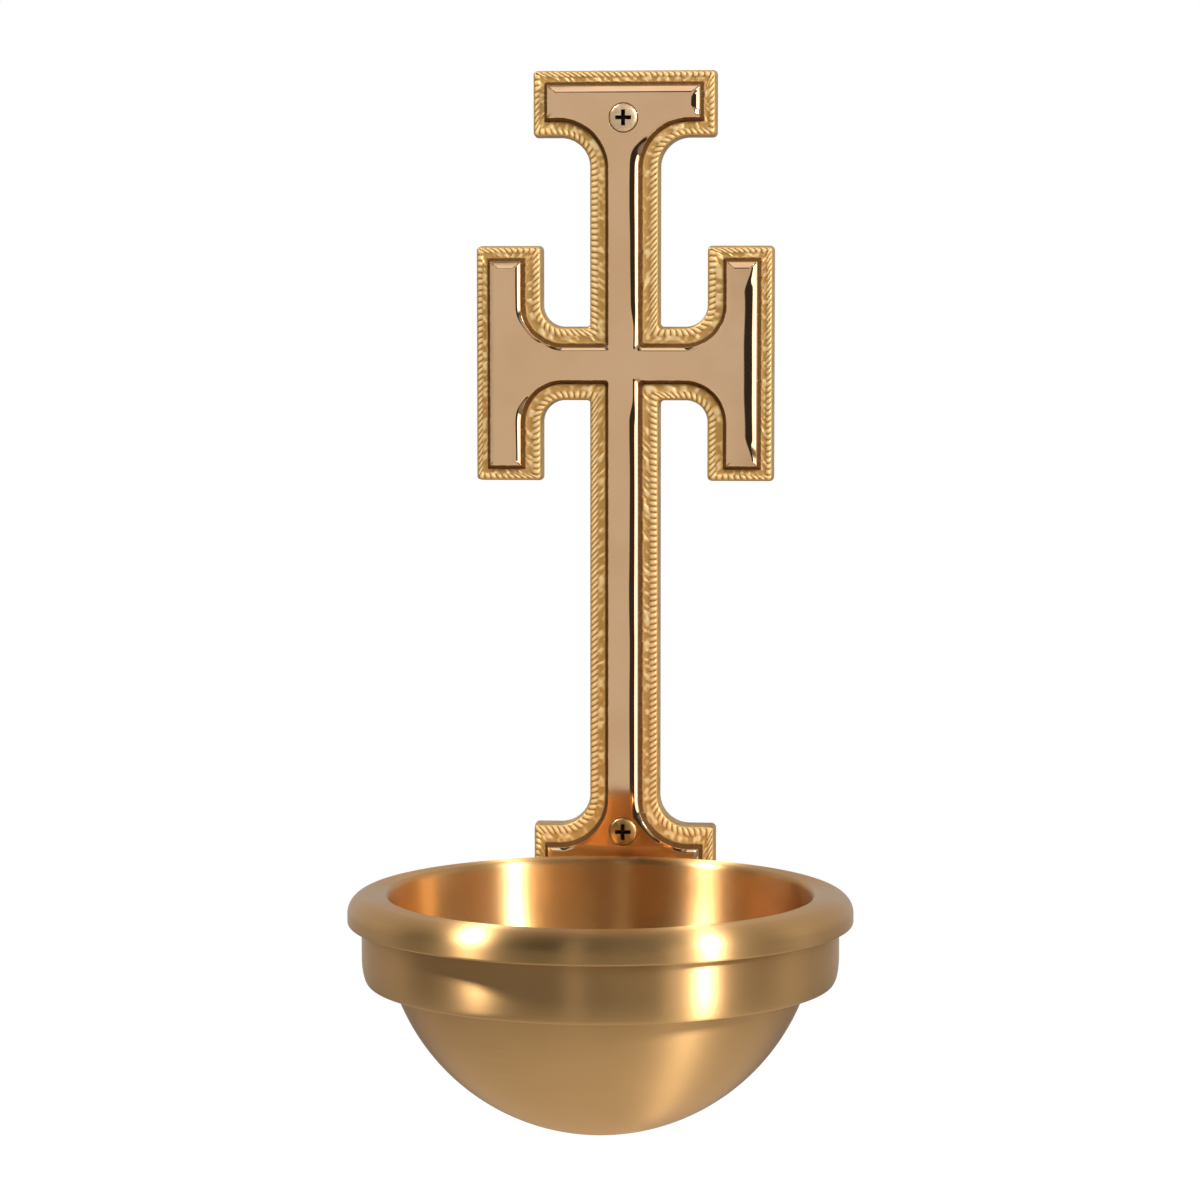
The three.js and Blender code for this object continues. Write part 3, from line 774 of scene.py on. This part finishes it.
camera_data = bpy.data.cameras.new("camera")
camera_data.sensor_width = CAMERA_SENSOR
camera_data.lens = CAMERA_LENS
camera_data.clip_end = CAMERA_REACH
camera = bpy.data.objects.new("camera", camera_data)
camera.location = CAMERA_PLACE
camera.rotation_euler = (math.radians(90 - CAMERA_DOWN), 0.0, math.radians(CAMERA_LEFT))
bpy.context.scene.collection.objects.link(camera)
bpy.context.scene.camera = camera
bpy.context.scene.view_settings.view_transform = "Standard"


# Materials

NOISE_RANGE = (0.3, 0.7)  # nearly all values of the noise lie between these
PAINTED_SHADE_TONES = [  # amount of painted shade, and colour
    (0.1, (0.95, 0.69, 0.34)),
    (0.6, (0.68, 0.39, 0.12)),
    (1.0, (0.13, 0.055, 0.01)),
]
QUARTER_TURN = 0.25  # in turns, as the shader counts them
SATIN_SHADES = (0.96, 1.04)  # shares of its colour between which satin brass varies
PLAIN_SHADE = 0.8  # the darkest share on plain brass
PLAIN_ROUGHNESS = (-0.06, 0.08)  # how far its roughness goes below and above the stated one


def metal(name, color, roughness, metallic=1.0):
    """A metal material; gives the material, its node tree and its shader."""
    material = bpy.data.materials.new(name)
    material.use_nodes = True
    tree = material.node_tree
    shader = tree.nodes["Principled BSDF"]
    shader.inputs["Metallic"].default_value = metallic
    shader.inputs["Base Color"].default_value = (*color, 1.0)
    shader.inputs["Roughness"].default_value = roughness
    return material, tree, shader


def node(tree, kind, inputs=None, **settings):
    """A new node with its settings, and its inputs as links or constants."""
    made = tree.nodes.new(kind)
    for key, value in settings.items():
        setattr(made, key, value)
    for key, value in (inputs or {}).items():
        if isinstance(value, bpy.types.NodeSocket):
            tree.links.new(value, made.inputs[key])
        else:
            made.inputs[key].default_value = value
    return made


def ramp(tree, factor, stops):
    """A colour ramp from (position, colour) stops."""
    made = node(tree, "ShaderNodeValToRGB", {"Fac": factor})
    elements = made.color_ramp.elements
    while len(elements) < len(stops):
        elements.new(0.5)
    for element, (position, color) in zip(elements, stops):
        element.position = position
        element.color = (*color, 1.0)
    return made.outputs["Color"]


def object_noise(tree, scale, detail=2.0):
    """Noise over the piece's own coordinates; scale is in cells per metre."""
    place = node(tree, "ShaderNodeTexCoord").outputs["Object"]
    noise = node(tree, "ShaderNodeTexNoise", {"Vector": place, "Scale": scale, "Detail": detail})
    return noise.outputs["Fac"]


def turned_lines(tree, scale):
    """Fine rings about the piece's Z axis, as a lathe or brush leaves them: noise by radius and height."""
    place = node(tree, "ShaderNodeTexCoord").outputs["Object"]
    parts = node(tree, "ShaderNodeSeparateXYZ", {"Vector": place})
    flat = node(tree, "ShaderNodeCombineXYZ", {"X": parts.outputs["X"], "Y": parts.outputs["Y"]})
    radius = node(tree, "ShaderNodeVectorMath", {0: flat.outputs[0]}, operation="LENGTH").outputs["Value"]
    lines = node(tree, "ShaderNodeCombineXYZ", {"X": radius, "Y": parts.outputs["Z"]})
    noise = node(tree, "ShaderNodeTexNoise", {"Vector": lines.outputs[0], "Scale": scale, "Detail": 3.0})
    return noise.outputs["Fac"]


def spread(tree, noise, low, high):
    """The noise as a number from low to high."""
    least, most = NOISE_RANGE
    inputs = {"Value": noise, "From Min": least, "From Max": most, "To Min": low, "To Max": high}
    return node(tree, "ShaderNodeMapRange", inputs).outputs["Result"]


def two_tone(tree, noise, dark, light):
    """The noise as a colour from dark to light."""
    return ramp(tree, noise, list(zip(NOISE_RANGE, (dark, light))))


def bump(tree, height, distance, strength):
    """The normal of a surface with this relief; distance is in metres."""
    inputs = {"Height": height, "Distance": distance, "Strength": strength}
    return node(tree, "ShaderNodeBump", inputs).outputs["Normal"]


def dress(tree, shader, tone, rough, normal):
    """Links a colour, a roughness and a normal to the shader."""
    tree.links.new(tone, shader.inputs["Base Color"])
    tree.links.new(rough, shader.inputs["Roughness"])
    tree.links.new(normal, shader.inputs["Normal"])


def polished_face():
    """Bright bronze with the faint waves that polishing leaves."""
    material, tree, shader = metal("polished_face", (0.97, 0.62, 0.35), roughness=0.1)
    tone = two_tone(tree, object_noise(tree, scale=45), (0.94, 0.59, 0.32), (1.0, 0.65, 0.38))
    rough = spread(tree, object_noise(tree, scale=160, detail=4), low=0.05, high=0.09)
    normal = bump(tree, object_noise(tree, scale=70, detail=1), distance=0.0004, strength=0.12)
    dress(tree, shader, tone, rough, normal)
    return material


def corded_border():
    """Matt gilt casting, with shade painted into the hollows of its relief and light painted on its crests.
    """
    material, tree, shader = metal("corded_border", (0.90, 0.68, 0.39), roughness=0.6, metallic=0.5)
    painted_shade = node(tree, "ShaderNodeAttribute", attribute_name="painted_shade").outputs["Fac"]
    tone = ramp(tree, painted_shade, PAINTED_SHADE_TONES)
    rough = spread(tree, object_noise(tree, scale=900, detail=3), low=0.45, high=0.65)
    normal = bump(tree, object_noise(tree, scale=2600, detail=2), distance=0.0001, strength=0.35)
    dress(tree, shader, tone, rough, normal)
    return material


def cast_side():
    """Raw casting on the sides and the back."""
    material, tree, shader = metal("cast_side", (0.62, 0.42, 0.20), roughness=0.5)
    tone = two_tone(tree, object_noise(tree, scale=220, detail=5), (0.46, 0.30, 0.14), (0.68, 0.47, 0.23))
    rough = spread(tree, object_noise(tree, scale=700, detail=3), low=0.42, high=0.6)
    normal = bump(tree, object_noise(tree, scale=1500, detail=3), distance=0.0003, strength=0.4)
    dress(tree, shader, tone, rough, normal)
    return material


def satin_brass(name, color, rough, anisotropic):
    """Brass brushed round the piece's Z axis; rough is the range of its roughness."""
    material, tree, shader = metal(name, color, sum(rough) / 2)
    dark, light = [tuple(share * c for c in color) for share in SATIN_SHADES]
    tone = two_tone(tree, object_noise(tree, scale=30, detail=3), dark, light)
    brushed = spread(tree, turned_lines(tree, scale=3000), *rough)
    normal = bump(tree, turned_lines(tree, scale=5000), distance=0.00003, strength=0.3)
    dress(tree, shader, tone, brushed, normal)
    shader.inputs["Anisotropic"].default_value = anisotropic
    shader.inputs["Anisotropic Rotation"].default_value = QUARTER_TURN
    tangent = node(tree, "ShaderNodeTangent", direction_type="RADIAL", axis="Z")
    tree.links.new(tangent.outputs["Tangent"], shader.inputs["Tangent"])
    return material


def plain_brass(name, color, roughness, metallic=1.0):
    """Machined or turned brass, slightly uneven."""
    material, tree, shader = metal(name, color, roughness, metallic)
    dark = tuple(PLAIN_SHADE * c for c in color)
    tone = two_tone(tree, object_noise(tree, scale=400, detail=3), dark, color)
    smoother, rougher = [roughness + change for change in PLAIN_ROUGHNESS]
    rough = spread(tree, object_noise(tree, scale=900, detail=3), smoother, rougher)
    normal = bump(tree, object_noise(tree, scale=3000, detail=2), distance=0.00005, strength=0.25)
    dress(tree, shader, tone, rough, normal)
    return material


# Pieces

face_material = polished_face()
border_material = corded_border()
side_material = cast_side()
satin_material = satin_brass("satin_brass", (0.80, 0.47, 0.19), rough=(0.38, 0.43), anisotropic=1.0)
belly_material = satin_brass("satin_brass_belly", (0.80, 0.47, 0.19), rough=(0.39, 0.44), anisotropic=0.9)
# A slightly paler copy of the bowl's brass for the inside: painted light, tuned to how light bounced inside
# the bowl colours it
inside_painted_light_material = satin_brass("satin_brass_inside_painted_light", (0.81, 0.50, 0.21), rough=(0.37, 0.42), anisotropic=1.0)
saddle_material = plain_brass("machined_brass", (0.72, 0.50, 0.25), roughness=0.4)
screw_material = plain_brass("turned_screw_brass", (0.88, 0.62, 0.38), roughness=0.32, metallic=0.6)
# A darker, more orange copy of the screw brass for the lower wall screw: painted shade and a painted
# reflection of the bowl
lower_screw_painted_shade_material = plain_brass("lower_screw_brass_painted_shade", (0.60, 0.36, 0.14), roughness=0.38)
# Near-black brass in the screw recesses: painted shade
recess_painted_shade_material = plain_brass("recess_painted_shade", (0.10, 0.06, 0.03), roughness=0.5)

casting = cross_casting([side_material, border_material, face_material])
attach(casting, "wall_fitting")
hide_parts("cross_plate")

ring = turned_piece("turned_ring", ring_profile(), [satin_material])
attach(ring, "wall_fitting")
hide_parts("support_ring")

section = bowl_profile()
bowl_materials = [satin_material, belly_material, inside_painted_light_material]
bowl = turned_piece("spun_bowl", section, bowl_materials, bowl_finishes(section))
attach(bowl, "bowl")
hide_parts("bowl")

block = saddle(saddle_material)
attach(block, "wall_fitting")
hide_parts("ring_saddle")

WALL_SCREW = {
    "head": WALL_SCREW_HEAD, "shank": WALL_SCREW_SHANK, "dome": WALL_SCREW_DOME,
    "point": WALL_SCREW_POINT, "tip": WALL_SCREW_TIP, "thread": WALL_SCREW_THREAD,
}
RING_SCREW = {
    "head": RING_SCREW_HEAD, "shank": RING_SCREW_SHANK, "dome": 0.0,
    "point": RING_SCREW_POINT, "tip": RING_SCREW_TIP, "thread": RING_SCREW_THREAD,
}
for name, into_wall, sizes, brass in (
    ("wall_screw_upper", True, WALL_SCREW, screw_material),
    ("wall_screw_lower", True, WALL_SCREW, lower_screw_painted_shade_material),
    ("ring_screw_left", False, RING_SCREW, screw_material),
    ("ring_screw_right", False, RING_SCREW, screw_material),
):
    fastener = screw(name, into_wall, sizes, [brass, recess_painted_shade_material])
    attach(fastener, "wall_fitting")
    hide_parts(name)


# Floor and light

FLOOR_HALF = 3.0
FLOOR_Z = -0.75
FLOOR_BELOW = 0.6  # glow of the floor under the stoup, as the metal sees it
FLOOR_AWAY = 0.15  # the same further out
FLOOR_FADE = (0.5, 1.5)  # where it changes, in metres from the spot under the stoup


def map_range(tree, value, low, high, to_low=0.0, to_high=1.0):
    """A smooth change from to_low to to_high while the value goes from low to high."""
    inputs = {"Value": value, "From Min": low, "From Max": high, "To Min": to_low, "To Max": to_high}
    return node(tree, "ShaderNodeMapRange", inputs, interpolation_type="SMOOTHSTEP").outputs["Result"]


def maths(tree, operation, *values):
    """The result of one Math node."""
    return node(tree, "ShaderNodeMath", dict(enumerate(values)), operation=operation).outputs[0]


def pale_floor():
    """White to the camera; to the metal, a floor that glows most under the stoup."""
    corners = [(-1, -1), (1, -1), (1, 1), (-1, 1)]
    mesh = bpy.data.meshes.new("floor")
    mesh.from_pydata([(x * FLOOR_HALF, y * FLOOR_HALF, FLOOR_Z) for x, y in corners], [], [(0, 1, 2, 3)])
    material = bpy.data.materials.new("pale_floor")
    material.use_nodes = True
    tree = material.node_tree
    shader = tree.nodes["Principled BSDF"]
    shader.inputs["Base Color"].default_value = (0.05, 0.05, 0.05, 1.0)
    shader.inputs["Roughness"].default_value = 0.9
    shader.inputs["Emission Color"].default_value = (1.0, 1.0, 1.0, 1.0)
    place = node(tree, "ShaderNodeTexCoord").outputs["Object"]
    parts = node(tree, "ShaderNodeSeparateXYZ", {"Vector": place}).outputs
    flat = node(tree, "ShaderNodeCombineXYZ", {"X": parts["X"], "Y": parts["Y"]})
    away = node(tree, "ShaderNodeVectorMath", {0: flat.outputs[0]}, operation="LENGTH").outputs["Value"]
    glow = map_range(tree, away, *FLOOR_FADE, FLOOR_BELOW, FLOOR_AWAY)
    seen = node(tree, "ShaderNodeLightPath").outputs["Is Camera Ray"]
    tree.links.new(maths(tree, "MAXIMUM", glow, seen), shader.inputs["Emission Strength"])
    mesh.materials.append(material)
    floor = bpy.data.objects.new("floor", mesh)
    bpy.context.scene.collection.objects.link(floor)


FULL_TURN = 360.0
ROOM_DARK = 0.03

# Pale areas of the room as the metal sees them: from and to in degrees right of straight ahead, from and to
# in degrees above the horizon, softness of the edges in degrees, and brightness
ROOM_AREAS = [
    (-11, -1.5, -10, 7, 1.5, 0.54),  # pale panel ahead
    (-110, -18, -20, 30, 10, 0.08),  # dim wall on the left
    (36, 62, -16, 6, 2, 2.4),  # bright panel on the right
    (-11, -6.5, 7, 32, 2, 0.6),  # pale strip above the panel ahead
    (-11.5, -2.5, 32, 58, 2, 0.9),  # pale ceiling above it
    (5, 85, 16, 50, 10, 0.42),  # pale wall behind the key light
    (64, 115, -20, 40, 8, 0.25),  # pale wall on the far right
    (100, 260, -90, 90, 15, 0.5),  # white background
]


def studio_room():
    """White to the camera; to the metal, a dim room with pale areas in it."""
    world = bpy.data.worlds.new("studio")
    bpy.context.scene.world = world
    world.use_nodes = True
    tree = world.node_tree
    place = node(tree, "ShaderNodeTexCoord").outputs["Generated"]
    parts = node(tree, "ShaderNodeSeparateXYZ", {"Vector": place}).outputs
    ahead = maths(tree, "MULTIPLY", parts["Y"], -1.0)
    azimuth = maths(tree, "DEGREES", maths(tree, "ARCTAN2", parts["X"], ahead))
    elevation = maths(tree, "DEGREES", maths(tree, "ARCSINE", parts["Z"]))
    total = ROOM_DARK
    for left, right, low, high, soft, bright in ROOM_AREAS:
        middle, half = (left + right) / 2, (right - left) / 2
        one_way = maths(tree, "ABSOLUTE", maths(tree, "SUBTRACT", azimuth, middle))
        other_way = maths(tree, "ABSOLUTE", maths(tree, "SUBTRACT", one_way, FULL_TURN))
        off = maths(tree, "MINIMUM", one_way, other_way)
        inside = map_range(tree, off, half - soft, half + soft, bright, 0.0)
        above = map_range(tree, elevation, low - soft, low + soft)
        below = map_range(tree, elevation, high - soft, high + soft, 1.0, 0.0)
        area = maths(tree, "MULTIPLY", maths(tree, "MULTIPLY", inside, above), below)
        total = maths(tree, "ADD", area, total)
    backdrop = tree.nodes["Background"]
    seen = node(tree, "ShaderNodeLightPath").outputs["Is Camera Ray"]
    tree.links.new(maths(tree, "MAXIMUM", total, seen), backdrop.inputs["Strength"])
    backdrop.inputs["Color"].default_value = (1.0, 1.0, 1.0, 1.0)


LAMP_DISTANCE = 2.2


def softbox(name, azimuth, elevation, width, height, power):
    """A soft rectangular light that faces the cross; azimuth is to the right of straight ahead."""
    a, e = math.radians(azimuth), math.radians(elevation)
    data = bpy.data.lights.new(name, "AREA")
    data.shape = "RECTANGLE"
    data.size = width
    data.size_y = height
    data.energy = power
    light = bpy.data.objects.new(name, data)
    towards = Vector((math.sin(a) * math.cos(e), -math.cos(a) * math.cos(e), math.sin(e)))
    light.location = towards * LAMP_DISTANCE
    light.rotation_euler = towards.to_track_quat("Z", "Y").to_euler()
    bpy.context.scene.collection.objects.link(light)
    return light


pale_floor()
studio_room()

# The key and the left light make the streaks on the brushed brass, and the fill lights what is matt
key = softbox("key", azimuth=55.5, elevation=22, width=0.12, height=0.3, power=46)
left = softbox("left", azimuth=-74, elevation=48, width=0.1, height=0.3, power=44)
fill = softbox("fill", azimuth=15, elevation=28, width=0.5, height=0.5, power=58)
key.visible_diffuse = False
left.visible_diffuse = False
fill.visible_glossy = False
